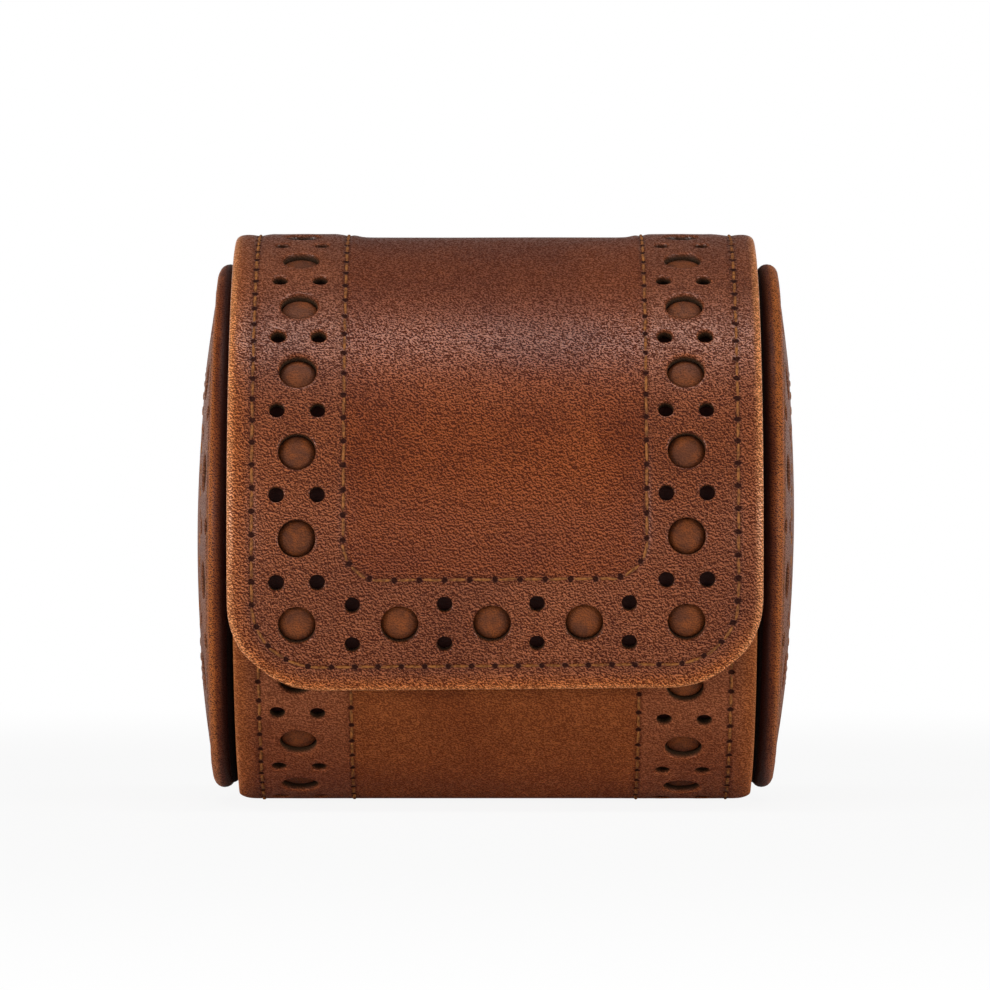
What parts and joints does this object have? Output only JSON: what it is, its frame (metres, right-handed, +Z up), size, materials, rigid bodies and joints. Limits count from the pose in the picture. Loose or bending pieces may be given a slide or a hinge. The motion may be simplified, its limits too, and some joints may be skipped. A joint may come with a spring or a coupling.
{
  "type": "watch roll",
  "caption": "Round padded leather watch case with a punched wrap-over flap, domed piped ends and a lift-out cushion.",
  "frame": {"origin": "centre of the flat under the case that it rests on", "axes": "+X to the right along the roll, the flap closes on the front at -Y, +Z up"},
  "size_m": [0.0888, 0.0885, 0.085],
  "materials": {
    "outer_leather": "burnished full-grain leather, waxed",
    "piping_leather": "rolled leather, polished edge",
    "underlay_leather": "natural tan leather",
    "lining_suede": "soft suede nap",
    "binding_leather": "thin skived leather",
    "board": "pressed fibre board",
    "foam": "soft padding",
    "magnet": "nickel-plated"
  },
  "bodies": {
    "case": {"wrap_leather": "outer_leather", "wrap_underlay": "underlay_leather", "case_shell": "board", "case_magnets": "magnet", "case_lining": "lining_suede", "mouth_binding": "binding_leather", "hinge_strip": "lining_suede", "left_end_lining": "lining_suede", "left_end_board": "board", "left_cap_foam": "foam", "left_cap_underlay": "underlay_leather", "left_cap_leather": "outer_leather", "left_cap_piping": "piping_leather", "right_end_lining": "lining_suede", "right_end_board": "board", "right_cap_foam": "foam", "right_cap_underlay": "underlay_leather", "right_cap_leather": "outer_leather", "right_cap_piping": "piping_leather"},
    "flap": {"flap_leather": "outer_leather", "flap_underlay": "underlay_leather", "flap_board": "board", "flap_lining": "lining_suede", "flap_magnets": "magnet"},
    "cushion": {"cushion_core": "foam", "cushion_cover": "lining_suede", "left_cushion_end": "lining_suede", "right_cushion_end": "lining_suede"}
  },
  "joints": [
    {"name": "flap_hinge", "type": "hinge", "parent": "case", "child": "flap", "pos_m": [0, 0.0301, 0.07118], "axis": [-1, 0, 0], "range_deg": [0, 120]},
    {"name": "cushion_lift", "type": "slide", "parent": "case", "child": "cushion", "axis": [0, -0.225, 0.9744], "range_m": [0, 0.07]}
  ],
  "couplings": [
    {"joint": "cushion_lift", "follows": "flap_hinge", "m_per_rad": 0.0325}
  ]
}
